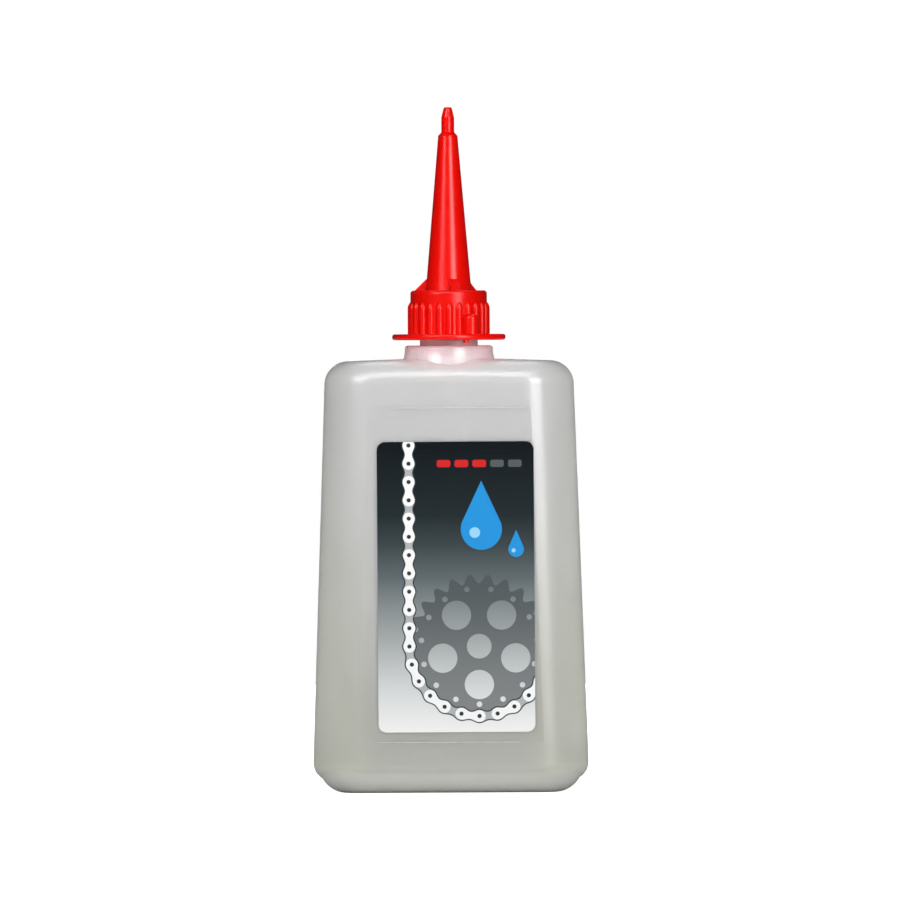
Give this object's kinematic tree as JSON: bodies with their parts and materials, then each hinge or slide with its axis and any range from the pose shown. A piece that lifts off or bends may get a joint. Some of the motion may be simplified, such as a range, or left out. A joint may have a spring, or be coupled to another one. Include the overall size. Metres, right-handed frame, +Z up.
{
  "type": "chain lube bottle",
  "caption": "Flat tapering squeeze bottle of translucent plastic with a long screw-on red nozzle cap and a front label, for dripping oil onto a bicycle chain",
  "frame": {"origin": "middle of the base, on the surface that the bottle stands on", "axes": "+Z up along the neck and spout, +X to the right along the wide side, +Y to the back; the labelled front faces -Y"},
  "size_m": [0.0604, 0.0268, 0.1505],
  "materials": {
    "bottle_plastic": "natural polyethylene, blow-moulded, milky and translucent with a satin skin",
    "cap_plastic": "bright red polyethylene, injection-moulded, low gloss",
    "label_film": "printed film, semi-gloss, near-black at the top fading to white at the bottom"
  },
  "bodies": {
    "bottle_body": {"bottle": "bottle_plastic", "front_label": "label_film"},
    "cap": {"nozzle_cap": "cap_plastic"}
  },
  "joints": [
    {"name": "cap_turn", "type": "hinge", "parent": "bottle_body", "child": "cap", "pos_m": [0, 0, 0.1045], "axis": [0, 0, 1], "range_deg": [0, 540]}
  ]
}
